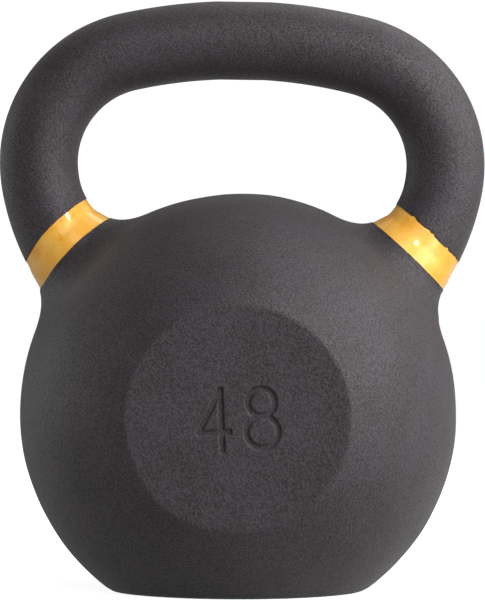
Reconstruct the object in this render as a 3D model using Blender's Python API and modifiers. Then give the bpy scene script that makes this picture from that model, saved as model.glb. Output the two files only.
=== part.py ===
"""Kettlebell, 48 kg: one solid iron casting under a powder coat, with a painted colour band on each horn.

Metres, +Z up. The origin is the centre of the ground base, and the marked face looks along -Y.
The casting is drawn square in its own frame, whose origin is the centre of the bell. It then leans by
LEAN, because its base is ground slightly off square, and stands BELL_CENTRE_HEIGHT above the base.
Every layer is the same outer surface, moved inwards by an inset.
"""

from math import cos, pi, radians, sin

import bmesh
import bpy
import numpy as np
from mathutils import Matrix

MM = 0.001

# Bell: a ball whose upper half is drawn up a little, with two flat faces and a ground base
BELL_RADIUS = 115.5 * MM
BELL_TOP_SEMI_AXIS = 116.4 * MM
BELL_CENTRE_HEIGHT = 93.1 * MM
FACE_DISTANCE = 100.3 * MM
LEAN = radians(0.97)

# Handle: its centreline falls from the apex to the bell in three arcs a side, as (radius, angle)
HANDLE_APEX = 197.5 * MM
HANDLE_ARCS = (
    (267.9 * MM, radians(13.3)),
    (59.9 * MM, radians(80.3)),
    (71.7 * MM, radians(40.3)),
)
HANDLE_RADIUS = 20.85 * MM
ROOT_LENGTH = 30 * MM  # the horn's straight run on into the bell
FLARE_LENGTH = 39.8 * MM  # how far above that run the horn starts to widen
FLARE_RATE = 3.1  # metres of radius for each square metre of length
FILLET = 14.6 * MM  # width of the blend between horn and bell

# Colour bands: rings round the horns, between two planes square to a line from the bell's centre
BAND_ELEVATION = radians(43)
BAND_START = 121.5 * MM
BAND_END = 137.3 * MM
BAND_REACH = 48 * MM  # more than the horn's half width and less than the distance to the handle's far arcs

# Layers, as insets from the coated surface. A gap keeps neighbouring pieces apart.
GAP = 0.3 * MM
COAT = 0.5 * MM
BAND_RECESS = 0.2 * MM
IRON_INSET = COAT + GAP
COAT_HEM = 0.4 * MM  # the coat stops this far above the ground base

# Number on the marked face: strokes of one width, engraved
NUMBER_HEIGHT = 33 * MM
DIGIT_WIDTH = 19.5 * MM
DIGIT_SPACING = 24 * MM
STROKE_WIDTH = 3.3 * MM
ENGRAVING_DEPTH = 1.2 * MM
NUMBER_TILT = radians(3.2)
LOOP_STEPS = 20

# Fineness of the faceted surface
BELL_CELLS = 12  # across each of the six patches of the bell
HORN_CELLS = 6  # cells across the opening that a horn grows from
HANDLE_SEGMENTS = 4 * HORN_CELLS
ARC_STEPS = (3, 12, 4)
FILLET_RINGS = 3
PROJECTION_PASSES = 12
PROBE = 0.01 * MM  # step of the numeric slope
BEFORE_START = 0.6  # rad; a point up to here ahead of an arc is nearer to its start than to its end

FAR = 300 * MM  # reach of the cutters past the object
CUT_LEVEL = 126 * MM  # a level inside the window, between the bell's crown and the handle


def clear_scene():
    for thing in list(bpy.data.objects):
        bpy.data.objects.remove(thing)


def new_collection(name):
    collection = bpy.data.collections.new(name)
    bpy.context.scene.collection.children.link(collection)
    return collection


def new_object(name, mesh, collection, placement):
    thing = bpy.data.objects.new(name, mesh)
    thing.matrix_world = placement
    collection.objects.link(thing)
    return thing


def finish_material(name, colour, roughness, metallic):
    material = bpy.data.materials.new(name)
    material.use_nodes = True
    shader = material.node_tree.nodes["Principled BSDF"]
    shader.inputs["Base Color"].default_value = (*colour, 1)
    shader.inputs["Roughness"].default_value = roughness
    shader.inputs["Metallic"].default_value = metallic
    material.diffuse_color = (*colour, 1)
    return material


def centreline():
    """The handle's arcs on the +X side, as (centre x, centre z, radius, first heading, last heading), and its end.

    A heading is an angle from +X towards +Z. The path leaves the apex along +X and turns downwards.
    """
    arcs = []
    x, z, heading = 0.0, HANDLE_APEX, 0.0
    for radius, angle in HANDLE_ARCS:
        centre_x = x + radius * sin(heading)
        centre_z = z - radius * cos(heading)
        arcs.append((centre_x, centre_z, radius, heading, heading - angle))
        heading -= angle
        x = centre_x - radius * sin(heading)
        z = centre_z + radius * cos(heading)
    return arcs, (x, z, heading)


ARCS, ROOT = centreline()


def flared_radius(past_flare):
    return HANDLE_RADIUS + FLARE_RATE * np.maximum(past_flare, 0) ** 2


def handle_distance(x, y, z):
    """Signed distance to the handle's surface, for x of 0 or more."""
    nearest = np.full(len(x), np.inf)
    for number, (centre_x, centre_z, radius, first, last) in enumerate(ARCS):
        turned = np.arctan2(z - centre_z, x - centre_x) - pi / 2
        heading = np.mod(turned - BEFORE_START, -2 * pi) + BEFORE_START
        heading = np.clip(heading, last, first)
        off_x = x - (centre_x - radius * np.sin(heading))
        off_z = z - (centre_z + radius * np.cos(heading))
        past_flare = FLARE_LENGTH - radius * (heading - last) if number == len(ARCS) - 1 else -np.ones(len(x))
        distance = np.sqrt(off_x**2 + y**2 + off_z**2) - flared_radius(past_flare)
        nearest = np.minimum(nearest, distance)
    root_x, root_z, heading = ROOT
    along = (x - root_x) * cos(heading) + (z - root_z) * sin(heading)
    along = np.clip(along, 0, ROOT_LENGTH)
    off_x = x - root_x - along * cos(heading)
    off_z = z - root_z - along * sin(heading)
    distance = np.sqrt(off_x**2 + y**2 + off_z**2) - flared_radius(FLARE_LENGTH + along)
    return np.minimum(nearest, distance)


def surface(points):
    """Signed distance to the coated surface before its faces and base are cut: bell and handle, blended."""
    x, y, z = np.abs(points[:, 0]), points[:, 1], points[:, 2]
    stretch = np.where(z > 0, BELL_RADIUS / BELL_TOP_SEMI_AXIS, 1)
    bell = np.sqrt(x**2 + y**2 + (z * stretch) ** 2) - BELL_RADIUS
    handle = handle_distance(x, y, z)
    blend = np.maximum(FILLET - np.abs(bell - handle), 0) / FILLET
    return np.minimum(bell, handle) - blend**2 * FILLET / 4


def project(points, inset):
    """Moves points along the slope of the surface until they lie inset below it."""
    steps = PROBE * np.eye(3)
    for _ in range(PROJECTION_PASSES):
        height = surface(points) + inset
        slope = np.stack([surface(points + s) - surface(points - s) for s in steps], axis=1) / (2 * PROBE)
        points = points - slope * (height / (slope**2).sum(axis=1))[:, None]
    return points


def add_bell_cage(bm):
    """A cube grown into a ball, turned so that a horn leaves the middle of each upper patch, which is open there."""
    bmesh.ops.create_cube(bm, size=2)
    bmesh.ops.subdivide_edges(bm, edges=bm.edges[:], cuts=BELL_CELLS - 1, use_grid_fill=True)
    opening = HORN_CELLS / BELL_CELLS
    for axis in (0, 2):
        others = {0, 1, 2} - {axis}
        inside = [
            face
            for face in bm.faces
            if round(face.normal[axis]) == 1
            and all(abs(face.calc_center_median()[n]) < opening for n in others)
        ]
        bmesh.ops.delete(bm, geom=inside, context="FACES")
    for vert in bm.verts:
        for axis in range(3):
            vert.co[axis] = np.tan(vert.co[axis] * pi / 4)
        vert.co = BELL_RADIUS * vert.co.normalized()
    bmesh.ops.rotate(bm, verts=bm.verts[:], matrix=Matrix.Rotation(-pi / 4, 3, "Y"))


def add_handle_tube(bm):
    """A circle at the apex, spun down along the arcs on both sides."""
    upright = Matrix.Translation((0, 0, HANDLE_APEX)) @ Matrix.Rotation(pi / 2, 4, "Y")
    circle = bmesh.ops.create_circle(bm, segments=HANDLE_SEGMENTS, radius=HANDLE_RADIUS, matrix=upright)
    apex = circle["verts"] + list({edge for vert in circle["verts"] for edge in vert.link_edges})
    for side in (1, -1):
        ring = apex
        for (centre_x, centre_z, _, first, last), steps in zip(ARCS, ARC_STEPS):
            ring = bmesh.ops.spin(
                bm,
                geom=ring,
                cent=(side * centre_x, 0, centre_z),
                axis=(0, 1, 0),
                angle=side * (first - last),
                steps=steps,
            )["geom_last"]


def join_horns(bm):
    """Bridges each end of the tube to the opening below it, with rings to carry the fillet."""
    for side in (1, -1):
        rims = [edge for edge in bm.edges if edge.is_boundary and edge.verts[0].co.x * side > 0]
        bridge = bmesh.ops.bridge_loops(bm, edges=rims)
        bmesh.ops.subdivide_edges(bm, edges=bridge["edges"], cuts=FILLET_RINGS, use_grid_fill=True)


def body_mesh(inset):
    """The whole bell and handle as one closed skin, inset below the coated surface."""
    bm = bmesh.new()
    add_bell_cage(bm)
    add_handle_tube(bm)
    join_horns(bm)
    # Each layer has the same triangles, so that neighbouring layers stay parallel.
    bmesh.ops.triangulate(bm, faces=bm.faces[:], quad_method="FIXED")
    bmesh.ops.recalc_face_normals(bm, faces=bm.faces[:])
    mesh = bpy.data.meshes.new("body")
    bm.to_mesh(mesh)
    bm.free()
    points = np.empty(3 * len(mesh.vertices))
    mesh.vertices.foreach_get("co", points)
    mesh.vertices.foreach_set("co", project(points.reshape(-1, 3), inset).ravel())
    mesh.shade_smooth()
    mesh.update()
    return mesh


def box_mesh(*corners):
    """One mesh with a box for each pair of (low corner, high corner)."""
    bm = bmesh.new()
    for low, high in corners:
        size = Matrix.Diagonal([h - l for l, h in zip(low, high)] + [1])
        middle = Matrix.Translation([(l + h) / 2 for l, h in zip(low, high)])
        bmesh.ops.create_cube(bm, size=1, matrix=middle @ size)
    mesh = bpy.data.meshes.new("box")
    bm.to_mesh(mesh)
    bm.free()
    return mesh


def curve_to_mesh(curve, thickness=0):
    """The mesh of a curve, with its caps welded and, for a ribbon, thickened to both sides."""
    ribbon = bpy.data.objects.new("outline", curve)
    bpy.context.scene.collection.objects.link(ribbon)
    if thickness:
        wall = ribbon.modifiers.new("width", "SOLIDIFY")
        wall.thickness = thickness
        wall.offset = 0
        wall.use_even_offset = True
    bpy.context.view_layer.update()
    graph = bpy.context.evaluated_depsgraph_get()
    mesh = bpy.data.meshes.new_from_object(ribbon.evaluated_get(graph))
    bpy.data.objects.remove(ribbon)
    bm = bmesh.new()
    bm.from_mesh(mesh)
    bmesh.ops.remove_doubles(bm, verts=bm.verts[:], dist=0.001 * MM)
    bmesh.ops.recalc_face_normals(bm, faces=bm.faces[:])
    bm.to_mesh(mesh)
    bm.free()
    return mesh


def flat_curve(points, closed, half_height, fill):
    curve = bpy.data.curves.new("outline", "CURVE")
    curve.dimensions = "2D"
    curve.fill_mode = fill
    curve.extrude = half_height
    line = curve.splines.new("POLY")
    line.points.add(len(points) - 1)
    for point, (x, z) in zip(line.points, points):
        point.co = (x, z, 0, 1)
    line.use_cyclic_u = closed
    return curve


def bell_zone(distance):
    """Outline of all that lies on the bell's side of both band planes, at this distance from its centre."""
    axis_x, axis_z = cos(BAND_ELEVATION), sin(BAND_ELEVATION)
    to_window = (CUT_LEVEL - distance * axis_z) / axis_x
    side = []
    for across in (to_window, -FAR):
        side.append((distance * axis_x - across * axis_z, distance * axis_z + across * axis_x))
    side.append((side[-1][0], -FAR))
    return side + [(-x, z) for x, z in reversed(side)]


def digit_strokes():
    """The strokes of 4 and of 8 round the number's middle, as (points, closed), x to the reader's right."""
    half = (NUMBER_HEIGHT - STROKE_WIDTH) / 2
    wide = (DIGIT_WIDTH - STROKE_WIDTH) / 2
    four = -DIGIT_SPACING / 2
    eight = DIGIT_SPACING / 2
    stem = four + 0.45 * wide
    bar = -0.42 * half
    waist = 0.08 * half
    end = half + STROKE_WIDTH / 2
    strokes = [
        ([(stem, half), (four - wide, bar), (four + 1.1 * wide, bar)], False),
        ([(stem, end), (stem, -end)], False),
    ]
    for bottom, top, width in ((-half, waist, wide), (waist, half, 0.84 * wide)):
        turns = [2 * pi * n / LOOP_STEPS for n in range(LOOP_STEPS)]
        middle, tall = (bottom + top) / 2, (top - bottom) / 2
        strokes.append(([(eight + width * sin(t), middle + tall * cos(t)) for t in turns], True))
    return strokes


def lengthened(points, by):
    """An open stroke with both its ends drawn out along themselves."""
    ends = []
    for end, inner in ((points[0], points[1]), (points[-1], points[-2])):
        length = np.hypot(end[0] - inner[0], end[1] - inner[1])
        ends.append([e + (e - i) * by / length for e, i in zip(end, inner)])
    return [ends[0], *points[1:-1], ends[1]]


class Casting:
    """Makes bodies and cutters in the casting's frame, each at its own inset."""

    def __init__(self, parts, cutters):
        self.parts = parts
        self.cutters = cutters
        lift = Matrix.Translation((0, 0, BELL_CENTRE_HEIGHT))
        self.frame = lift @ Matrix.Rotation(LEAN, 4, "Y")
        face_down = self.frame @ Matrix.Rotation(pi / 2, 4, "X")
        self.face_frame = face_down @ Matrix.Translation((0, 0, FACE_DISTANCE))
        self.number_frame = self.face_frame @ Matrix.Rotation(NUMBER_TILT, 4, "Z")
        self.section_frame = face_down

    def cutter(self, name, mesh, placement):
        thing = new_object(name, mesh, self.cutters, placement)
        thing.hide_render = True
        thing.display_type = "WIRE"
        return thing

    def cut(self, thing, cutter, operation="DIFFERENCE"):
        step = thing.modifiers.new(cutter.name, "BOOLEAN")
        step.operation = operation
        step.object = cutter

    def shape(self, thing, inset):
        """Cuts the two flat faces and the number into a body of this inset."""
        flat = FACE_DISTANCE - inset
        slabs = box_mesh(
            ((-FAR, -FAR, -FAR), (FAR, -flat, FAR)),
            ((-FAR, flat, -FAR), (FAR, FAR, FAR)),
        )
        self.cut(thing, self.cutter("flat_faces", slabs, self.frame))
        deep = ENGRAVING_DEPTH + inset
        for points, closed in digit_strokes():
            route = points if closed else lengthened(points, inset)
            curve = flat_curve(route, closed, deep, "NONE")
            mesh = curve_to_mesh(curve, STROKE_WIDTH + 2 * inset)
            self.cut(thing, self.cutter("stroke", mesh, self.number_frame))

    def core(self, inset, shaped):
        """The body that is taken out of a layer to leave a shell."""
        thing = self.cutter("core", body_mesh(inset), self.frame)
        if shaped:
            self.shape(thing, inset)
        return thing

    def piece(self, name, inset, material):
        mesh = body_mesh(inset)
        mesh.materials.append(material)
        return new_object(name, mesh, self.parts, self.frame)

    def zone(self, distance):
        curve = flat_curve(bell_zone(distance), True, FAR, "BOTH")
        return self.cutter("bell_zone", curve_to_mesh(curve), self.section_frame)

    def ground(self, height):
        low, high = (-FAR, -FAR, -FAR), (FAR, FAR, height)
        return self.cutter("below_base", box_mesh((low, high)), Matrix())

    def horn_slab(self, side):
        """The slice of space that one band fills, along the line that the band is square to."""
        low, high = BAND_START + GAP, BAND_END - GAP
        mesh = box_mesh(((low, -BAND_REACH, -BAND_REACH), (high, BAND_REACH, BAND_REACH)))
        turn = Matrix.Rotation(-BAND_ELEVATION if side > 0 else BAND_ELEVATION - pi, 4, "Y")
        return self.cutter("band_slab", mesh, self.frame @ turn)


def make_iron(casting):
    """The solid iron, poured in one piece: bell, horns and handle, with a bare ground base."""
    iron = finish_material("cast_iron", (0.16, 0.155, 0.15), 0.55, 0.9)
    thing = casting.piece("iron_casting", IRON_INSET, iron)
    casting.shape(thing, IRON_INSET)
    casting.cut(thing, casting.ground(0))


def make_bell_coat(casting, black):
    thing = casting.piece("bell_powder_coat", 0, black)
    casting.shape(thing, 0)
    casting.cut(thing, casting.core(COAT, shaped=True))
    casting.cut(thing, casting.zone(BAND_START), "INTERSECT")
    casting.cut(thing, casting.ground(COAT_HEM))


def make_handle_coat(casting, black):
    thing = casting.piece("handle_powder_coat", 0, black)
    casting.cut(thing, casting.core(COAT, shaped=False))
    casting.cut(thing, casting.zone(BAND_END))


def make_band(casting, name, side, gold):
    thing = casting.piece(name, BAND_RECESS, gold)
    casting.cut(thing, casting.core(COAT, shaped=False))
    casting.cut(thing, casting.horn_slab(side), "INTERSECT")


def main():
    clear_scene()
    casting = Casting(new_collection("kettlebell"), new_collection("cutters"))
    black = finish_material("black_powder_coat", (0.052, 0.047, 0.05), 0.62, 0)
    gold = finish_material("gold_paint", (0.72, 0.43, 0.12), 0.3, 0.75)
    make_iron(casting)
    make_bell_coat(casting, black)
    make_handle_coat(casting, black)
    make_band(casting, "left_colour_band", -1, gold)
    make_band(casting, "right_colour_band", 1, gold)


main()
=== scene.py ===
"""Looks of the cast-iron kettlebell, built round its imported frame.

Every layer is the same outer surface, moved inwards: a ball blended with a looped handle, two flat faces
and a ground base. The surface is a signed distance in the casting's own frame, whose origin is the centre
of the bell. Nets of points are laid near it, follow its features, and are then moved onto it.
"""

from math import asin, cos, pi, radians, sin

import bmesh
import bpy
import numpy as np
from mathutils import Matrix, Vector, noise


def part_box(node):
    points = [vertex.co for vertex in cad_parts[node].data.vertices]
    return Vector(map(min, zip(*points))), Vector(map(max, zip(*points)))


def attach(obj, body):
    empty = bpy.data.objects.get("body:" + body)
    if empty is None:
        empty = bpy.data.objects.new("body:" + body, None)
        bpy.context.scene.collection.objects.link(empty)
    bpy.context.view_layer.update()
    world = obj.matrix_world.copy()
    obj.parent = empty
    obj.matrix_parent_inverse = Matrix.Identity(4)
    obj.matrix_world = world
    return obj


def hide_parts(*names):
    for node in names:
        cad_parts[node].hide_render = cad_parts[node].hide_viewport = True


MM = 0.001

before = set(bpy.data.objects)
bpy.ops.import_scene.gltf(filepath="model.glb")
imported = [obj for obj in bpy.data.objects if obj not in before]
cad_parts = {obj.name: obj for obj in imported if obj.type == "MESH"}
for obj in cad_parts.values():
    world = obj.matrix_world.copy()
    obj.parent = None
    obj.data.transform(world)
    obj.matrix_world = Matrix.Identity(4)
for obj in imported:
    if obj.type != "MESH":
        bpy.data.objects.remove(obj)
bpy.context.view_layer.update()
coat_low, coat_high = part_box("bell_powder_coat")

# Bell
BELL_RADIUS = (coat_high.x - coat_low.x) / 2
FACE_DISTANCE = coat_high.y
BELL_TOP_SEMI_AXIS = BELL_RADIUS + 0.9 * MM
BELL_CENTRE_HEIGHT = 93.1 * MM
LEAN = radians(0.97)
FACE_EDGE = 0.6 * MM  # widths over which cut edges are rounded
BASE_EDGE = 1.5 * MM

# Handle: its centreline falls from the apex to the bell in three arcs a side, as (radius, angle)
HANDLE_APEX = 197.5 * MM
HANDLE_ARCS = (
    (267.9 * MM, radians(13.3)),
    (59.9 * MM, radians(80.3)),
    (71.7 * MM, radians(40.3)),
)
HANDLE_RADIUS = 20.85 * MM
ROOT_LENGTH = 30 * MM
FLARE_LENGTH = 39.8 * MM
FLARE_RATE = 3.1
FILLET = 14.6 * MM

# Colour bands, between two planes square to a line from the bell's centre
BAND_ELEVATION = radians(43)
BAND_START = 121.5 * MM
BAND_END = 137.3 * MM
BAND_STRAY = {  # how far each hand-masked band strays from the planes, as (shift, tilt, bow)
    -1: (-0.9 * MM, 0, 2.5 * MM),
    1: (1.05 * MM, -1.95 * MM, 0.35 * MM),
}
STRAY_ROOM = 5.5 * MM  # how far past a band the handle's own rings begin
IRON_STRAY_ROOM = 0.8 * STRAY_ROOM  # how far past a band the iron's rings round the horn end

# Layers, as insets from the coated surface
COAT = 0.5 * MM
IRON_INSET = 0.8 * MM
BAND_RECESS = 0.42 * MM
BAND_THICKNESS = 0.2 * MM
BAND_TUCK = 0.9 * MM  # how far a band runs on under the coats
COAT_HEM = 0.4 * MM
LIP = ((0.45 * MM, 0), (0.12 * MM, 0.07 * MM), (0, 0.28 * MM))  # a coat's edge, as (back from it, inset)
BROKEN_EDGE = ((0.25 * MM, 0.15 * MM), (0.6 * MM, 0))  # the ground base's edge, as (in from it, height)

# Number
NUMBER_HEIGHT = 33 * MM
DIGIT_WIDTH = 19.5 * MM
DIGIT_SPACING = 24 * MM
STROKE_WIDTH = 3.3 * MM
LOOP_STEPS = 72
ENGRAVING_DEPTH = 1.4 * MM
ENGRAVING_WALL = 0.3 * MM
ENGRAVING_SHOULDER = (0.06 * MM, 0.35 * MM)  # depth and width of the dip round a stroke
NUMBER_TILT = radians(3.2)
PLATE = (58 * MM, 42 * MM)  # the finely netted rectangle that holds the number

# Places in the nets. Angles on the bell are in degrees
COLUMN_ANGLE = 1.25
IRON_COLUMN_ANGLE = 2.5
CAP_ANGLE = 45  # the belt of the bell ends this far from its equator, where the caps begin
HORN_REACH = 35  # half the width of the square patch round a horn
HORN_PATCH_ANGLE = 45
BASE_PATCH_ANGLE = 270
RIM_OUTSIDE = 4.5 * MM  # how far the fine rings reach to each side of a flat face's rim
RIM_INSIDE = 5 * MM
FACE_MIDDLE = 4 * MM

# Fineness of the nets. Rows laid between two places are (count, how much they crowd at the far one)
ROWS_TO_FACE = (9, 1.3)
ROWS_OVER_RIM = (14, 1)
ROWS_TO_MIDDLE = (16, 1)
ROWS_TO_NUMBER = (9, 0.8)
ROWS_TO_BAND = (34, 1.25)
ROWS_TO_BASE = (26, 1.7)
IRON_ROWS_TO_BAND = (12, 1.25)
IRON_ROWS_TO_BASE = (16, 1.7)
HANDLE_TURNS = 128
HANDLE_SPACING = 1.7 * MM
IRON_HANDLE_SPACING = 3 * MM
HANDLE_SWING = 24 * MM  # the length over which the handle's rings turn to match a band's
STRAY_STEPS = 4
BAND_TURNS = 144
BAND_ROWS = 17
IRON_BAND_ROWS = 11
BASE_RINGS = 24

# Relief of the casting, as (wavelength, height). Lumps shape the ball before its faces are cut; waves lie
# over it all.
LUMPS = ((75 * MM, 0.10 * MM), (42 * MM, 0.06 * MM), (24 * MM, 0.025 * MM))
LUMP_SEED = 5
LUMP_CROSSINGS = 4  # plane waves of each wavelength
WAVES = ((38 * MM, 0.06 * MM), (15 * MM, 0.03 * MM))
RIDGE = (1.1 * MM, 0.07 * MM)  # parting line: half width and height
RIDGE_FADE = 30 * MM  # wavelength of its rise and fall

# Flaws of the casting: (where, radius, height), the places in the casting's frame
FLAWS = (
    ((106.5 * MM, 0, 53 * MM), 2.4 * MM, 0.5 * MM),  # a scrap of flash on the parting line
    ((69 * MM, -2 * MM, -92 * MM), 3.0 * MM, -0.8 * MM),  # a knock on the base's edge
    ((-71 * MM, -20.5 * MM, 163 * MM), 2.2 * MM, -0.35 * MM),
    ((14 * MM, -18 * MM, 179 * MM), 2.5 * MM, -0.25 * MM),
)
CHIPS = (0.75 * MM, 2.6 * MM)  # depth and length of the chips in the handle coat's right-hand edge
EDGE_WAVES = ((9 * MM, 1), (2.2 * MM, 0.5))  # a coat edge's raggedness, as (wavelength, share)
BELL_EDGE_ROUGH = 0.22 * MM
HANDLE_EDGE_ROUGH = 0.25 * MM
STROKE_ROUGH = (0.08 * MM, 1.6 * MM)  # height and wavelength of the strokes' uneven edges

# Numerical steps
PROBE = 0.01 * MM
BEFORE_START = 0.6  # radians by which an angle along the handle may come before an arc's start
HORN_GUESS = HANDLE_RADIUS + 4 * MM  # where the searches for the surface begin
BASE_GUESS = 70 * MM
ON_FACE = 0.05 * MM
STROKE_PROBE = 0.02 * MM
STROKE_PULL = 0.19 * MM  # how far off a point may be to be moved onto a stroke's edge


# ---------------------------------------------------------------- the surface


def centreline():
    """Arcs on the +X side, as (centre x, centre z, radius, first and last heading), and the path's end."""
    arcs = []
    x, z, heading = 0.0, HANDLE_APEX, 0.0
    for radius, angle in HANDLE_ARCS:
        centre_x = x + radius * sin(heading)
        centre_z = z - radius * cos(heading)
        arcs.append((centre_x, centre_z, radius, heading, heading - angle))
        heading -= angle
        x = centre_x - radius * sin(heading)
        z = centre_z + radius * cos(heading)
    return arcs, (x, z, heading)


ARCS, ROOT = centreline()


def flared_radius(past_flare):
    """The handle's radius, this far past the place where it begins to flare."""
    return HANDLE_RADIUS + FLARE_RATE * np.maximum(past_flare, 0) ** 2


def handle_distance(x, y, z):
    """Signed distance to the handle, for points on the +X side."""
    nearest = np.full(len(x), np.inf)
    for number, (centre_x, centre_z, radius, first, last) in enumerate(ARCS):
        turned = np.arctan2(z - centre_z, x - centre_x) - pi / 2
        heading = np.mod(turned - BEFORE_START, -2 * pi) + BEFORE_START
        heading = np.clip(heading, last, first)
        off_x = x - (centre_x - radius * np.sin(heading))
        off_z = z - (centre_z + radius * np.cos(heading))
        past_flare = FLARE_LENGTH - radius * (heading - last) if number == len(ARCS) - 1 else -1 + 0 * x
        distance = np.sqrt(off_x**2 + y**2 + off_z**2) - flared_radius(past_flare)
        nearest = np.minimum(nearest, distance)
    root_x, root_z, heading = ROOT
    along = (x - root_x) * cos(heading) + (z - root_z) * sin(heading)
    along = np.clip(along, 0, ROOT_LENGTH)
    off_x = x - root_x - along * cos(heading)
    off_z = z - root_z - along * sin(heading)
    distance = np.sqrt(off_x**2 + y**2 + off_z**2) - flared_radius(FLARE_LENGTH + along)
    return np.minimum(nearest, distance)


def smooth_min(a, b, width):
    blend = np.maximum(width - np.abs(a - b), 0) / width
    return np.minimum(a, b) - blend**2 * width / 4


def height_above_base(points):
    return points[:, 2] * cos(LEAN) - points[:, 0] * sin(LEAN) + BELL_CENTRE_HEIGHT


def lump_waves():
    """Plane waves that cross at random, as (wave vector, phase, height)."""
    chance = np.random.default_rng(LUMP_SEED)
    waves = []
    for wavelength, height in LUMPS:
        for _ in range(LUMP_CROSSINGS):
            way = chance.normal(size=3)
            wave = 2 * pi / wavelength * way / np.linalg.norm(way)
            waves.append((wave, chance.uniform(0, 2 * pi), height))
    return waves


LUMP_WAVES = lump_waves()


def surface(points):
    """Signed distance to the coated surface, without the number and the relief."""
    x, y, z = np.abs(points[:, 0]), points[:, 1], points[:, 2]
    stretch = np.where(z > 0, BELL_RADIUS / BELL_TOP_SEMI_AXIS, 1)
    bell = np.sqrt(x**2 + y**2 + (z * stretch) ** 2) - BELL_RADIUS
    for way, phase, height in LUMP_WAVES:
        bell = bell + height * np.sin(points @ way + phase)
    body = smooth_min(bell, handle_distance(x, y, z), FILLET)
    body = -smooth_min(-body, FACE_DISTANCE - np.abs(y), FACE_EDGE)
    return -smooth_min(-body, height_above_base(points), BASE_EDGE)


def slope(points):
    steps = PROBE * np.eye(3)
    return np.stack([surface(points + s) - surface(points - s) for s in steps], axis=1) / (2 * PROBE)


def project(points, inset=0.0, passes=7):
    for _ in range(passes):
        steep = slope(points)
        height = surface(points) + inset
        points = points - steep * (height / (steep**2).sum(axis=1))[:, None]
    return points


def solve_along(origins, directions, start, inset=0.0, passes=9):
    """Points on the surface, each found along its own line, beginning start away from its origin."""
    reach = np.full(len(origins), float(start))
    for _ in range(passes):
        points = origins + reach[:, None] * directions
        ahead = surface(points + PROBE * directions) - surface(points - PROBE * directions)
        reach -= (surface(points) + inset) / (ahead / (2 * PROBE))
    return origins + reach[:, None] * directions


# ---------------------------------------------------------------- the number


def digit_strokes():
    """The strokes of 4 and of 8 round the number's middle, as (points, closed). Open strokes end square."""
    half = (NUMBER_HEIGHT - STROKE_WIDTH) / 2
    wide = (DIGIT_WIDTH - STROKE_WIDTH) / 2
    four = -DIGIT_SPACING / 2
    eight = DIGIT_SPACING / 2
    stem = four + 0.45 * wide
    bar = -0.42 * half
    waist = 0.08 * half
    end = half + STROKE_WIDTH / 2
    strokes = [
        ([(stem, half), (four - wide, bar), (four + 1.1 * wide, bar)], False),
        ([(stem, end), (stem, -end)], False),
    ]
    for bottom, top, width in ((-half, waist, wide), (waist, half, 0.84 * wide)):
        turns = [2 * pi * n / LOOP_STEPS for n in range(LOOP_STEPS)]
        middle, tall = (bottom + top) / 2, (top - bottom) / 2
        strokes.append(([(eight + width * sin(t), middle + tall * cos(t)) for t in turns], True))
    return strokes


def distance_to_strokes(flat):
    """Distance of flat points, in the number's own axes, from the nearest stroke's edge. Negative inside."""
    nearest = np.full(len(flat), np.inf)
    for points, closed in digit_strokes():
        corners = np.array(points + points[:1] if closed else points)
        stroke = np.full(len(flat), np.inf)
        for a, b in zip(corners[:-1], corners[1:]):
            along = b - a
            t = np.clip(((flat - a) @ along) / (along @ along), 0, 1)
            off = flat - a - t[:, None] * along
            stroke = np.minimum(stroke, np.hypot(off[:, 0], off[:, 1]) - STROKE_WIDTH / 2)
        if not closed:
            for end, inner in ((corners[0], corners[1]), (corners[-1], corners[-2])):
                stroke = np.maximum(stroke, (flat - end) @ (end - inner) / np.linalg.norm(end - inner))
        nearest = np.minimum(nearest, stroke)
    return nearest


def number_axes():
    return np.array([[cos(NUMBER_TILT), sin(NUMBER_TILT)], [-sin(NUMBER_TILT), cos(NUMBER_TILT)]])


def engraving(points):
    """How far the front face is sunk at these points."""
    flat = points[:, [0, 2]] @ number_axes().T
    rough, wavelength = STROKE_ROUGH
    edge = distance_to_strokes(flat) + rough * wobble(points, wavelength)
    sunk = np.clip(-edge / ENGRAVING_WALL, 0, 1)
    depth, width = ENGRAVING_SHOULDER
    return sunk * ENGRAVING_DEPTH + depth * np.exp(-np.maximum(edge, 0) / width)


def wobble(points, wavelength):
    """Smooth noise, about -1 to 1."""
    return np.array([noise.noise(Vector(p) / wavelength) for p in points])


# ---------------------------------------------------------------- nets


class Net:
    """Points and faces of one piece, in the casting's frame. Neighbouring strips share their points."""

    def __init__(self):
        self.blocks = []
        self.count = 0
        self.faces = []

    def add(self, points):
        numbers = np.arange(self.count, self.count + len(points))
        self.blocks.append(np.asarray(points, float))
        self.count += len(points)
        return numbers

    def points(self):
        return np.concatenate(self.blocks)

    def quads(self, rows, closed=True):
        """Faces between neighbouring rows of point numbers."""
        rows = np.asarray(rows)
        if closed:
            rows = np.concatenate([rows, rows[:, :1]], axis=1)
        corners = np.stack([rows[:-1, :-1], rows[:-1, 1:], rows[1:, 1:], rows[1:, :-1]], axis=-1)
        self.faces += corners.reshape(-1, 4).tolist()

    def loft(self, first, last_points, shares):
        """Rows on the surface from a row of numbers to a row of points, which is kept as given."""
        start = self.points()[first]
        rows = [first]
        for share in shares:
            rows.append(self.add(project(start + share * (last_points - start))))
        rows.append(self.add(last_points))
        self.quads(rows)
        return rows[-1]


def eased(count, power):
    """Shares from 0 to 1, both left out, which crowd towards 1 for a power above 1."""
    steps = np.arange(1, count) / count
    return 1 - (1 - steps) ** power


def lattice_directions(columns, rows):
    along, across = np.radians(columns), np.radians(rows)
    return np.stack([np.cos(across) * np.cos(along), np.sin(across), np.cos(across) * np.sin(along)], axis=-1)


def square_loop(numbers):
    """The rim of a block of point numbers, in order."""
    return np.concatenate([numbers[:-1, 0], numbers[-1, :-1], numbers[:0:-1, -1], numbers[0, :0:-1]])


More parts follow.
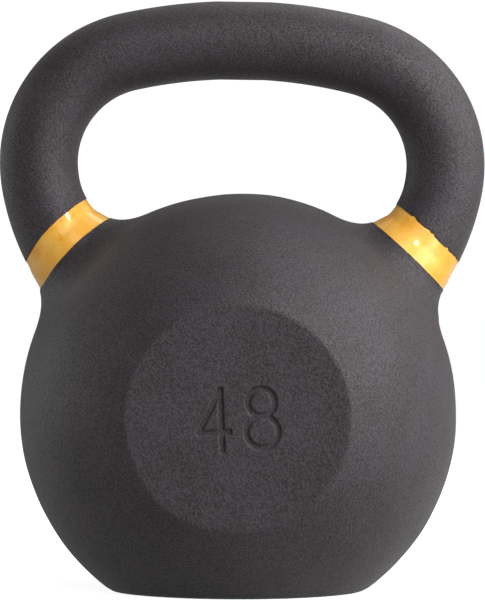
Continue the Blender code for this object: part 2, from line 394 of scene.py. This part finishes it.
def horn_axes(side):
    """The line that a horn's band is square to, and the two directions across it."""
    along = np.array([side * cos(BAND_ELEVATION), 0, sin(BAND_ELEVATION)])
    up = np.array([-side * sin(BAND_ELEVATION), 0, cos(BAND_ELEVATION)])
    return along, up, np.array([0, 1.0, 0])


def horn_ring(side, turns, distance, inset=0.0):
    """A ring round a horn, this far from the bell's centre. The distance may differ from point to point."""
    along, up, across = horn_axes(side)
    distance = np.broadcast_to(distance, turns.shape)
    spokes = np.cos(turns)[:, None] * up + np.sin(turns)[:, None] * across
    return solve_along(distance[:, None] * along, spokes, HORN_GUESS, inset)


def strayed(side, turns, distance):
    """Distance along a horn of its band's edge, masked by hand along the plane at the given distance."""
    shift, tilt, bow = BAND_STRAY[side]
    return distance + shift + tilt * np.cos(turns) + bow * np.sin(turns) ** 2


def coat_edge(side, turns, distance, seed, rough):
    """Distance of a coat's edge along the horn: nearly straight, a little ragged."""
    along, up, across = horn_axes(side)
    spokes = np.cos(turns)[:, None] * up + np.sin(turns)[:, None] * across
    around = spokes * HANDLE_RADIUS + np.array([seed, 0, 0])
    ragged = sum(share * wobble(around, wavelength) for wavelength, share in EDGE_WAVES)
    return strayed(side, turns, distance) + rough * ragged


def chips(turns):
    """Notches in a coat's edge, on the side that faces front."""
    depth, length = CHIPS
    around = HANDLE_RADIUS * np.stack([np.cos(turns), np.sin(turns), 0 * turns], axis=-1)
    notch = np.clip(3 * wobble(around, length), 0, 1)
    facing_front = np.clip(-1.5 * np.sin(turns) - 0.3, 0, 1)
    return depth * notch * facing_front


def loop_turns(points, side):
    """The angle of each point round a horn, evened out."""
    along, up, across = horn_axes(side)
    first = np.arctan2(points[0] @ across, points[0] @ up)
    second = np.arctan2(points[1] @ across, points[1] @ up)
    way = 1 if sin(second - first) > 0 else -1
    return first + way * 2 * pi * np.arange(len(points)) / len(points)


def belt(net, step):
    """The bell between its caps, open at the horns and base. Returns the two cap loops and the open loops."""
    count = round(360 / step)
    columns = np.arange(count) * step
    rows = np.arange(-CAP_ANGLE, CAP_ANGLE + step / 2, step)
    grid_columns, grid_rows = np.meshgrid(columns, rows, indexing="ij")
    directions = lattice_directions(grid_columns, grid_rows).reshape(-1, 3)
    numbers = np.arange(len(directions)).reshape(grid_columns.shape)
    squares = {
        "right": (HORN_PATCH_ANGLE, HORN_REACH),
        "left": (180 - HORN_PATCH_ANGLE, HORN_REACH),
        "base": (BASE_PATCH_ANGLE, CAP_ANGLE),
    }
    kept = np.ones((count, len(rows) - 1), bool)
    used = np.ones(grid_columns.shape, bool)
    loops = {}
    for name, (middle, reach) in squares.items():
        c0, c1 = round((middle - reach) / step), round((middle + reach) / step)
        r0, r1 = round((CAP_ANGLE - reach) / step), round((CAP_ANGLE + reach) / step)
        kept[c0:c1, r0:r1] = False
        used[c0 + 1 : c1, r0 + 1 : r1] = False
        loops[name] = square_loop(numbers[c0 : c1 + 1, r0 : r1 + 1])
    renumber = np.full(len(directions), -1)
    renumber[used.ravel()] = net.add(project(BELL_RADIUS * directions[used.ravel()]))
    wrapped = np.concatenate([numbers, numbers[:1]])
    corners = np.stack([wrapped[:-1, :-1], wrapped[1:, :-1], wrapped[1:, 1:], wrapped[:-1, 1:]], axis=-1)
    net.faces += renumber[corners[kept]].tolist()
    loops = {name: renumber[loop] for name, loop in loops.items()}
    return renumber[numbers[:, 0]], renumber[numbers[:, -1]], loops


def circle_of(loop_points, radius, y):
    """Points on a circle about the Y axis, in the same directions as those of a loop."""
    turns = np.arctan2(loop_points[:, 2], loop_points[:, 0])
    return np.stack([radius * np.cos(turns), np.full(len(turns), y), radius * np.sin(turns)], axis=-1)


def cap(net, loop, side, fine_plate):
    """A cap of the bell: down to the edge of its flat face, over it, and across the face."""
    start = net.points()[loop]
    rim = BELL_RADIUS * cos(asin(FACE_DISTANCE / BELL_RADIUS))
    outside = circle_of(start, rim + RIM_OUTSIDE, side * FACE_DISTANCE)
    inside = circle_of(start, rim - RIM_INSIDE, side * FACE_DISTANCE)
    ring = net.loft(loop, project(outside), eased(*ROWS_TO_FACE))
    ring = net.loft(ring, project(inside), eased(*ROWS_OVER_RIM))
    if fine_plate:
        plate(net, ring, side)
        return
    centre = net.add([(0, side * FACE_DISTANCE, 0)])[0]
    inner = net.loft(ring, circle_of(start, FACE_MIDDLE, side * FACE_DISTANCE), eased(*ROWS_TO_MIDDLE))
    net.faces += [[a, b, centre] for a, b in zip(inner, np.roll(inner, -1))]


def plate(net, ring, side):
    """The middle of the marked face: small squares in line with the number, and rings out to the rim's."""
    count = len(ring)
    wide = round(count / 2 * PLATE[0] / (PLATE[0] + PLATE[1]))
    tall = count // 2 - wide
    xs = np.linspace(-PLATE[0] / 2, PLATE[0] / 2, 2 * wide + 1)
    zs = np.linspace(-PLATE[1] / 2, PLATE[1] / 2, 2 * tall + 1)
    flat = np.stack(np.meshgrid(xs, zs, indexing="ij"), axis=-1)
    flat = snapped(flat.reshape(-1, 2)).reshape(flat.shape) @ number_axes()
    points = np.stack([flat[..., 0], np.full(flat.shape[:2], side * FACE_DISTANCE), flat[..., 1]], axis=-1)
    numbers = net.add(points.reshape(-1, 3)).reshape(flat.shape[:2])
    net.quads(numbers, closed=False)
    border = square_loop(numbers)
    every = net.points()[border[::2]]
    start = net.points()[ring]
    # The rectangle's loop is turned and, if need be, reversed until it runs beside the ring.
    turns = [np.arctan2(p[:, 2], p[:, 0]) for p in (start, every)]
    ways = [np.sign(np.sin(t[1] - t[0])) for t in turns]
    if ways[0] != ways[1]:
        border = np.roll(border[::-1], 1)
        every = net.points()[border[::2]]
        turns[1] = np.arctan2(every[:, 2], every[:, 0])
    best = min(range(count), key=lambda n: np.sum(1 - np.cos(np.roll(turns[1], -n) - turns[0])))
    border = np.roll(border, -2 * best)
    every = net.points()[border[::2]]
    rows = [ring] + [net.add(start + share * (every - start)) for share in eased(*ROWS_TO_NUMBER)]
    net.quads(rows)
    last = rows[-1]
    for n in range(count):
        m = (n + 1) % count
        corner = border[(2 * n + 2) % len(border)]
        net.faces.append([last[n], last[m], corner, border[2 * n + 1], border[2 * n]])


def snapped(flat):
    """Moves the points near a stroke's edge, or near the foot of its wall, onto it."""
    edge = distance_to_strokes(flat)
    steps = STROKE_PROBE * np.eye(2)
    steep = np.stack([distance_to_strokes(flat + s) - distance_to_strokes(flat - s) for s in steps], axis=1)
    steep /= np.maximum(np.linalg.norm(steep, axis=1), STROKE_PROBE)[:, None]
    half_wall = ENGRAVING_WALL / 2
    top = (edge > -half_wall) & (edge < STROKE_PULL)
    foot = (edge <= -half_wall) & (edge > -ENGRAVING_WALL - STROKE_PULL)
    shift = np.where(top, edge, 0) + np.where(foot, edge + ENGRAVING_WALL, 0)
    return flat - shift[:, None] * steep


LEANING = np.array([[cos(LEAN), 0, sin(LEAN)], [0, 1, 0], [-sin(LEAN), 0, cos(LEAN)]])


def in_row_frame(points):
    return points @ LEANING.T + np.array([0, 0, BELL_CENTRE_HEIGHT])


def in_casting_frame(points):
    return (points - np.array([0, 0, BELL_CENTRE_HEIGHT])) @ LEANING


def level_ring(turns, radius, height):
    """A level ring round the middle of the base."""
    radius = np.broadcast_to(radius, turns.shape)
    points = np.stack([radius * np.cos(turns), radius * np.sin(turns), height + 0 * turns], axis=-1)
    return in_casting_frame(points)


def base_ring(turns, height):
    """A ring round the foot of the bell, level with the ground and this high above it."""
    middle = level_ring(turns, 0, height)
    spokes = level_ring(turns, 1, height) - middle
    return solve_along(middle, spokes, BASE_GUESS)


def even_turns(points):
    """Angles about the Z axis, evened out, that keep a loop's start and sense."""
    first, second = (np.arctan2(p[1], p[0]) for p in points[:2])
    way = 1 if sin(second - first) > 0 else -1
    return first + way * 2 * pi * np.arange(len(points)) / len(points)


# ---------------------------------------------------------------- pieces


def relief(points):
    """The casting's faint waves, parting line and flaws. Only the scrap of flash stands above the surface."""
    width, height = RIDGE
    fade = 0.55 + 0.45 * wobble(points, RIDGE_FADE)
    raised = height * np.exp(-((points[:, 1] / width) ** 2)) * fade
    for wavelength, amount in WAVES:
        raised = raised + amount * wobble(points, wavelength)
    for place, radius, amount in FLAWS:
        raised = raised + amount * np.exp(-((points - np.array(place)) ** 2).sum(axis=1) / radius**2)
    return raised - height - sum(amount for _, amount in WAVES)


def make_piece(name, points, faces, material, nodes):
    mesh = bpy.data.meshes.new(name)
    mesh.from_pydata(in_row_frame(points).tolist(), [], faces)
    bm = bmesh.new()
    bm.from_mesh(mesh)
    bmesh.ops.recalc_face_normals(bm, faces=bm.faces[:])
    bm.to_mesh(mesh)
    bm.free()
    mesh.shade_smooth()
    mesh.materials.append(material)
    piece = bpy.data.objects.new(name, mesh)
    bpy.context.scene.collection.objects.link(piece)
    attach(piece, "root")
    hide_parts(*nodes)
    return piece


def outward(points):
    steep = slope(points)
    return steep / np.linalg.norm(steep, axis=1)[:, None]


def shell(net, loops, thickness, sink=0.0):
    """Points and faces of a net that is given thickness, closed round its open loops."""
    points = net.points()
    normals = outward(points)
    outer = points + normals * relief(points)[:, None] + sink
    inner = outer - normals * thickness
    count = len(outer)
    faces = net.faces + [[n + count for n in reversed(face)] for face in net.faces]
    for loop in loops:
        ends = np.roll(loop, -1)
        faces += [[a, b, b + count, a + count] for a, b in zip(loop.tolist(), ends.tolist())]
    return np.concatenate([outer, inner]), faces


def front_sink(points):
    """The number, as a shift of the marked face's points."""
    at_front = points[:, 1] < -FACE_DISTANCE + ON_FACE
    sunk = np.zeros(len(points))
    sunk[at_front] = engraving(points[at_front])
    return np.stack([0 * sunk, sunk, 0 * sunk], axis=-1)


def make_bell_coat(material):
    net = Net()
    front, back, loops = belt(net, COLUMN_ANGLE)
    cap(net, front, -1, fine_plate=True)
    cap(net, back, 1, fine_plate=False)
    open_loops = []
    for name, side in (("right", 1), ("left", -1)):
        loop = loops[name]
        turns = loop_turns(net.points()[loop], side)
        edge = coat_edge(side, turns, BAND_START, side, BELL_EDGE_ROUGH)
        back_off, inset = LIP[0]
        row = net.loft(loop, horn_ring(side, turns, edge - back_off, inset), eased(*ROWS_TO_BAND))
        rows = [row]
        for back_off, inset in LIP[1:]:
            rows.append(net.add(horn_ring(side, turns, edge - back_off, inset)))
        net.quads(rows)
        open_loops.append(rows[-1])
    foot = loops["base"]
    turns = even_turns(net.points()[foot])
    open_loops.append(net.loft(foot, base_ring(turns, COAT_HEM), eased(*ROWS_TO_BASE)))
    points = net.points()
    points, faces = shell(net, open_loops, COAT, front_sink(points))
    piece = make_piece("bell_coat", points, faces, material, ["bell_powder_coat"])
    return piece


def handle_path(spacing):
    """Points and headings along the handle's centreline from band to band, about this far apart."""
    along, _, _ = horn_axes(1)
    side = []
    for centre_x, centre_z, radius, first, last in ARCS:
        steps = max(2, round(radius * (first - last) / spacing))
        for heading in np.linspace(first, last, steps, endpoint=False):
            side.append((centre_x - radius * sin(heading), centre_z + radius * cos(heading), heading))
    side = [(x, z, h) for x, z, h in side if x * along[0] + z * along[2] > BAND_END + STRAY_ROOM]
    return [(-x, z, -h) for x, z, h in reversed(side[1:])] + side


def tube_ring(turns, centre, normal):
    """A ring round the handle about a point of its centreline, in the plane with this normal."""
    up = np.array([-normal[2], 0, normal[0]])
    spokes = np.cos(turns)[:, None] * up + np.sin(turns)[:, None] * np.array([0, 1.0, 0])
    return solve_along(np.tile(centre, (len(turns), 1)), spokes, HANDLE_RADIUS)


def handle_rings(turns, spacing):
    """Rings along the handle between the bands. Near each end they swing round to match the band."""
    path = handle_path(spacing)
    blend_rings = round(HANDLE_SWING / spacing)
    rings = []
    for number, (x, z, heading) in enumerate(path):
        normal = np.array([cos(heading), 0, sin(heading)])
        for side, from_end in ((-1, number), (1, len(path) - 1 - number)):
            if from_end < blend_rings:
                along, _, _ = horn_axes(side)
                share = 1 - (from_end + 1) / (blend_rings + 1)
                normal = normal + share * (-side * along - normal)
                normal /= np.linalg.norm(normal)
        rings.append(tube_ring(turns, (x, 0, z), normal))
    return rings


def rings_between(first, last, steps):
    return [project(first + share * (last - first)) for share in np.arange(1, steps) / steps]


def make_handle_coat(material):
    net = Net()
    turns = 2 * pi * np.arange(HANDLE_TURNS) / HANDLE_TURNS
    ends = {}
    for side in (-1, 1):
        edge = coat_edge(side, pi - turns, BAND_END, 7 + side, HANDLE_EDGE_ROUGH)
        if side > 0:
            edge = edge + chips(turns)
        ends[side] = [horn_ring(side, pi - turns, edge + back_off, inset) for back_off, inset in LIP]
    middle = handle_rings(turns, HANDLE_SPACING)
    left = rings_between(ends[-1][0], middle[0], STRAY_STEPS)
    right = rings_between(middle[-1], ends[1][0], STRAY_STEPS)
    rings = ends[-1][::-1] + left + middle + right + ends[1]
    rows = [net.add(ring) for ring in rings]
    net.quads(rows)
    points, faces = shell(net, [rows[0], rows[-1]], COAT)
    piece = make_piece("handle_coat", points, faces, material, ["handle_powder_coat"])
    return piece


def make_band(side, name, node, material):
    net = Net()
    turns = 2 * pi * np.arange(BAND_TURNS) / BAND_TURNS
    reach = np.linspace(BAND_START - BAND_TUCK, BAND_END + BAND_TUCK, BAND_ROWS)
    edges = [strayed(side, turns, distance) for distance in reach]
    rows = [net.add(horn_ring(side, turns, edge, BAND_RECESS)) for edge in edges]
    net.quads(rows)
    points, faces = shell(net, [rows[0], rows[-1]], BAND_THICKNESS)
    piece = make_piece(name, points, faces, material, [node])
    return piece


def make_iron(material):
    """The solid casting: one closed skin under the coats, with the ground base open to view."""
    net = Net()
    front, back, loops = belt(net, IRON_COLUMN_ANGLE)
    cap(net, front, -1, fine_plate=True)
    cap(net, back, 1, fine_plate=False)
    rims, turns = {}, {}
    for name, side in (("right", 1), ("left", -1)):
        turns[side] = loop_turns(net.points()[loops[name]], side)
        start = horn_ring(side, turns[side], BAND_START)
        rims[side] = net.loft(loops[name], start, eased(*IRON_ROWS_TO_BAND))
    band_rows = np.linspace(BAND_START, BAND_END + IRON_STRAY_ROOM, IRON_BAND_ROWS)
    rings = [horn_ring(-1, turns[-1], distance) for distance in band_rows[1:]]
    rings += handle_rings(pi - turns[-1], IRON_HANDLE_SPACING)
    rings += [horn_ring(1, turns[-1], distance) for distance in band_rows[:0:-1]]
    beside = [int(np.argmax(np.cos(turns[1] - turn))) for turn in turns[-1]]
    net.quads([rims[-1]] + [net.add(ring) for ring in rings] + [rims[1][beside]])
    foot = loops["base"]
    around = even_turns(net.points()[foot])
    hem = net.loft(foot, base_ring(around, COAT_HEM), eased(*IRON_ROWS_TO_BASE))
    points = net.points()
    normals = outward(points)
    points = points + normals * (relief(points) - IRON_INSET)[:, None] + front_sink(points)
    close_base(net, hem, around, points)
    points = np.concatenate([points, net.points()[len(points) :]])
    piece = make_piece("ground_iron_casting", points, net.faces, material, ["iron_casting"])
    return piece


def close_base(net, hem, around, points):
    """The ground face: a small broken edge, then rings to the middle."""
    foot = in_row_frame(points[hem])
    radius = np.hypot(foot[:, 0], foot[:, 1])
    rows = [hem] + [net.add(level_ring(around, radius - inwards, height)) for inwards, height in BROKEN_EDGE]
    for share in np.linspace(0.96, 0.04, BASE_RINGS):
        rows.append(net.add(level_ring(around, radius * share, 0)))
    net.quads(rows)
    middle = net.add(in_casting_frame(np.array([[0, 0, 0.0]])))[0]
    net.faces += [[a, b, middle] for a, b in zip(rows[-1].tolist(), np.roll(rows[-1], -1).tolist())]


# ---------------------------------------------------------------- materials


class Nodes:
    """A short way to write a material's node tree."""

    def __init__(self, name):
        self.material = bpy.data.materials.new(name)
        self.material.use_nodes = True
        self.tree = self.material.node_tree
        self.shader = self.tree.nodes["Principled BSDF"]
        self.place = self.tree.nodes.new("ShaderNodeTexCoord").outputs["Object"]

    def link(self, value, socket):
        if isinstance(value, bpy.types.NodeSocket):
            self.tree.links.new(value, socket)
        else:
            socket.default_value = value

    def noise(self, wavelength, detail=2.0, roughness=0.5):
        node = self.tree.nodes.new("ShaderNodeTexNoise")
        self.link(self.place, node.inputs["Vector"])
        node.inputs["Scale"].default_value = 1 / wavelength
        node.inputs["Detail"].default_value = detail
        node.inputs["Roughness"].default_value = roughness
        return node.outputs["Fac"]

    def dots(self, spacing, radius, threshold):
        """1 inside small round dots. Only the share of cells above the threshold holds one."""
        node = self.tree.nodes.new("ShaderNodeTexVoronoi")
        self.link(self.place, node.inputs["Vector"])
        node.inputs["Scale"].default_value = 1 / spacing
        inside = self.ramp(node.outputs["Distance"], radius / spacing, 0.5 * radius / spacing)
        chosen = self.math("GREATER_THAN", node.outputs["Color"], threshold)
        return self.math("MULTIPLY", inside, chosen)

    def ramp(self, value, low, high, start=0.0, end=1.0):
        node = self.tree.nodes.new("ShaderNodeMapRange")
        node.interpolation_type = "SMOOTHSTEP"
        self.link(value, node.inputs["Value"])
        for name, number in (("From Min", low), ("From Max", high), ("To Min", start), ("To Max", end)):
            node.inputs[name].default_value = number
        return node.outputs["Result"]

    def math(self, operation, a, b=0.0):
        node = self.tree.nodes.new("ShaderNodeMath")
        node.operation = operation
        self.link(a, node.inputs[0])
        self.link(b, node.inputs[1])
        return node.outputs[0]

    def mix(self, share, a, b):
        node = self.tree.nodes.new("ShaderNodeMix")
        node.data_type = "RGBA"
        self.link(share, node.inputs["Factor"])
        for value, name in ((a, "A"), (b, "B")):
            socket = next(s for s in node.inputs if s.name == name and s.type == "RGBA")
            self.link(value if isinstance(value, bpy.types.NodeSocket) else (*value, 1), socket)
        return next(s for s in node.outputs if s.type == "RGBA")

    def bump(self, height, distance, under=None):
        node = self.tree.nodes.new("ShaderNodeBump")
        node.inputs["Distance"].default_value = distance
        self.link(height, node.inputs["Height"])
        if under:
            self.link(under, node.inputs["Normal"])
        return node.outputs["Normal"]

    def set(self, name, value):
        self.link(value, self.shader.inputs[name])


def powder_coat():
    """Black powder coat: a sandy grain, broad clouds, pale specks that are painted glints, and pinholes sunk
    by the bump and darkened with painted shade.
    """
    n = Nodes("textured_powder_coat")
    grain = n.noise(0.95 * MM, 2, 0.6)
    cloud = n.ramp(n.noise(30 * MM, 3, 0.55), 0.3, 0.7)
    fine = n.math("MULTIPLY", n.ramp(grain, 0.34, 0.66), 0.78)
    light = n.math("ADD", fine, n.math("MULTIPLY", cloud, 0.22))
    tint = n.mix(light, (0.0018, 0.0012, 0.0016), (0.0450, 0.0325, 0.0410))
    # pale specks: painted glints of the coat's sparkle, pale under any lamp
    painted_glint_speck = n.dots(8 * MM, 0.32 * MM, 0.72)
    # pinholes: real pits, sunk by the bump below; their darker colour is painted shade in the hole
    pinhole_pit_and_painted_shade = n.dots(11 * MM, 0.38 * MM, 0.6)
    tint = n.mix(n.math("MULTIPLY", painted_glint_speck, 0.6), tint, (0.13, 0.095, 0.075))
    # the pinholes' dark colour is painted shade
    n.set("Base Color", n.mix(pinhole_pit_and_painted_shade, tint, (0.008, 0.007, 0.007)))
    n.set("Roughness", n.ramp(grain, 0.3, 0.7, 0.68, 0.5))
    n.set("Specular IOR Level", 0.5)
    n.set("Sheen Weight", 0.12)
    n.set("Sheen Roughness", 0.5)
    deep = n.math("SUBTRACT", grain, pinhole_pit_and_painted_shade)
    n.set("Normal", n.bump(n.noise(0.5 * MM, 1, 0.5), 0.08 * MM, n.bump(deep, 0.3 * MM)))
    return n.material


def gold_paint():
    """Gold paint: amber with a fine grain and paler and more orange clouds, under a glossy clear film."""
    n = Nodes("mottled_gold_paint")
    cloud = n.noise(13 * MM, 2, 0.5)
    mottle = n.noise(5 * MM, 3, 0.55)
    base = n.mix(n.ramp(cloud, 0.36, 0.62), (0.90, 0.40, 0.035), (0.92, 0.50, 0.08))
    base = n.mix(n.ramp(mottle, 0.5, 0.75, 0, 0.3), base, (0.94, 0.64, 0.25))
    base = n.mix(n.ramp(mottle, 0.42, 0.28, 0, 0.8), base, (0.86, 0.33, 0.015))
    base = n.mix(n.ramp(n.noise(0.8 * MM, 2, 0.5), 0.35, 0.65, 0, 0.25), base, (0.78, 0.36, 0.035))
    n.set("Base Color", n.mix(n.dots(7 * MM, 0.35 * MM, 0.7), base, (0.30, 0.14, 0.04)))
    n.set("Metallic", 0.08)
    n.set("Specular IOR Level", 0.2)
    n.set("Roughness", n.ramp(mottle, 0.3, 0.7, 0.45, 0.35))
    n.set("Coat Weight", 0.5)
    n.set("Coat Roughness", 0.08)
    n.set("Sheen Weight", 0.4)
    n.set("Sheen Roughness", 0.4)
    n.set("Sheen Tint", (1.0, 0.84, 0.66, 1))
    under = n.bump(n.noise(4.5 * MM, 2, 0.5), 0.12 * MM)
    n.set("Normal", n.bump(n.noise(0.8 * MM, 2, 0.5), 0.02 * MM, under))
    return n.material


def ground_iron():
    """Bare iron: grey blotches and faint turning marks."""
    n = Nodes("ground_cast_iron")
    rings = n.tree.nodes.new("ShaderNodeTexWave")
    rings.wave_type = "RINGS"
    rings.rings_direction = "Z"
    n.link(n.place, rings.inputs["Vector"])
    rings.inputs["Scale"].default_value = 1 / (9 * MM)
    rings.inputs["Distortion"].default_value = 0.6
    rings.inputs["Detail"].default_value = 3
    blotch = n.noise(14 * MM, 4, 0.6)
    base = n.mix(n.ramp(blotch, 0.35, 0.7), (0.20, 0.19, 0.18), (0.33, 0.32, 0.31))
    n.set("Base Color", base)
    n.set("Metallic", 0.9)
    n.set("Roughness", n.ramp(blotch, 0.3, 0.7, 0.55, 0.36))
    under = n.bump(rings.outputs["Fac"], 0.05 * MM)
    n.set("Normal", n.bump(n.noise(0.9 * MM, 2, 0.5), 0.03 * MM, under))
    return n.material


# ---------------------------------------------------------------- studio

CAMERA_DISTANCE = 1850 * MM
CAMERA_HEIGHT = 152.95 * MM
CAMERA_OFFSET = 2.4 * MM
VIEW_HEIGHT = 318 * MM  # what the picture's height spans at the handle
SENSOR = 36  # mm
FLOOR_SIZE = 60.0
FLOOR_GREY = 0.8
FLOOR_ROUGHNESS = 0.8
FLOOR_GLOW = 0.88  # brightness under the object; it rises to 1 away from it
SHADOW_REACH = (0.12, 0.7)  # where that rise begins and ends
FLOOR_BOUNCE = 0.3  # how pale and how bright the floor is to the object, not to the camera
FLOOR_LIGHT = 0.2
WORLD_GLOW = 1.05
WORLD_LIGHT = 0.01

# name, azimuth, elevation, distance, size, power in watts
LIGHTS = (
    ("key", 33, 38, 1.2, 0.22, 6.8),
    ("front_high", 0, 35, 1.6, 0.8, 4.4),
    ("front_right_low", 45, 8, 1.6, 0.8, 12.4),
    ("right_low", 70, 8, 1.6, 0.8, 7.5),
    ("right_near", 90, 35, 0.75, 0.35, 1.5),
    ("right_side", 95, 8, 1.6, 0.8, 4.4),
    ("right_back", 120, 35, 1.6, 0.8, 1.9),
    ("right_back_high", 135, 62, 1.6, 0.8, 7.2),
    ("left_back_high", -135, 62, 1.6, 0.8, 1.0),
    ("left_back", -120, 8, 1.6, 0.8, 3.0),
    ("left_side", -95, 8, 1.6, 0.8, 3.6),
    ("left_near", -60, 35, 0.75, 0.35, 0.17),
)


def softbox(name, azimuth, elevation, distance, size, power):
    """A flat lamp aimed at the object's middle. Azimuth 0 is in front, 90 to the right."""
    light = bpy.data.lights.new(name, "AREA")
    light.size = size
    light.energy = power
    lamp = bpy.data.objects.new(name, light)
    a, e = radians(azimuth), radians(elevation)
    away = Vector((sin(a) * cos(e), -cos(a) * cos(e), sin(e)))
    lamp.location = Vector((0, 0, CAMERA_HEIGHT)) + distance * away
    lamp.rotation_euler = away.to_track_quat("Z", "Y").to_euler()
    lamp.visible_camera = False
    bpy.context.scene.collection.objects.link(lamp)


def make_camera():
    data = bpy.data.cameras.new("camera")
    data.sensor_width = SENSOR
    data.lens = SENSOR / 2 / (VIEW_HEIGHT / 2 / CAMERA_DISTANCE)
    data.clip_end = 100
    camera = bpy.data.objects.new("camera", data)
    camera.location = (CAMERA_OFFSET, -CAMERA_DISTANCE, CAMERA_HEIGHT)
    camera.rotation_euler = (pi / 2, 0, 0)
    bpy.context.scene.collection.objects.link(camera)
    bpy.context.scene.camera = camera


def make_floor():
    """A white floor with a faint shadow. It gives the object less light than the camera sees in it."""
    bpy.ops.mesh.primitive_plane_add(size=FLOOR_SIZE, location=(0, 0, 0))
    floor = bpy.context.object
    floor.name = "floor"
    n = Nodes("pale_floor")
    n.set("Base Color", (FLOOR_GREY, FLOOR_GREY, FLOOR_GREY, 1))
    n.set("Roughness", FLOOR_ROUGHNESS)
    length = n.tree.nodes.new("ShaderNodeVectorMath")
    length.operation = "LENGTH"
    n.link(n.place, length.inputs[0])
    n.set("Emission Color", (1, 1, 1, 1))
    n.set("Emission Strength", n.ramp(length.outputs["Value"], *SHADOW_REACH, FLOOR_GLOW, 1.0))
    dim = n.tree.nodes.new("ShaderNodeBsdfPrincipled")
    dim.inputs["Base Color"].default_value = (FLOOR_BOUNCE, FLOOR_BOUNCE, FLOOR_BOUNCE, 1)
    dim.inputs["Specular IOR Level"].default_value = 0
    dim.inputs["Emission Color"].default_value = (1, 1, 1, 1)
    dim.inputs["Emission Strength"].default_value = FLOOR_LIGHT
    mixed = n.tree.nodes.new("ShaderNodeMixShader")
    path = n.tree.nodes.new("ShaderNodeLightPath")
    n.link(path.outputs["Is Camera Ray"], mixed.inputs[0])
    n.link(dim.outputs[0], mixed.inputs[1])
    n.link(n.shader.outputs[0], mixed.inputs[2])
    n.link(mixed.outputs[0], n.tree.nodes["Material Output"].inputs["Surface"])
    floor.data.materials.append(n.material)


def make_world():
    """A white backdrop to look at, and a softer, greyer one to light by."""
    world = bpy.data.worlds.new("studio")
    world.use_nodes = True
    tree = world.node_tree
    lit = tree.nodes["Background"]
    lit.inputs["Color"].default_value = (1, 1, 1, 1)
    lit.inputs["Strength"].default_value = WORLD_LIGHT
    seen = tree.nodes.new("ShaderNodeBackground")
    seen.inputs["Color"].default_value = (1, 1, 1, 1)
    seen.inputs["Strength"].default_value = WORLD_GLOW
    path = tree.nodes.new("ShaderNodeLightPath")
    mixed = tree.nodes.new("ShaderNodeMixShader")
    tree.links.new(path.outputs["Is Camera Ray"], mixed.inputs[0])
    tree.links.new(lit.outputs[0], mixed.inputs[1])
    tree.links.new(seen.outputs[0], mixed.inputs[2])
    tree.links.new(mixed.outputs[0], tree.nodes["World Output"].inputs["Surface"])
    bpy.context.scene.world = world


make_camera()
black = powder_coat()
gold = gold_paint()
make_iron(ground_iron())
make_bell_coat(black)
make_handle_coat(black)
make_band(-1, "left_band_paint", "left_colour_band", gold)
make_band(1, "right_band_paint", "right_colour_band", gold)
make_floor()
make_world()
for light in LIGHTS:
    softbox(*light)
bpy.context.scene.view_settings.view_transform = "Standard"
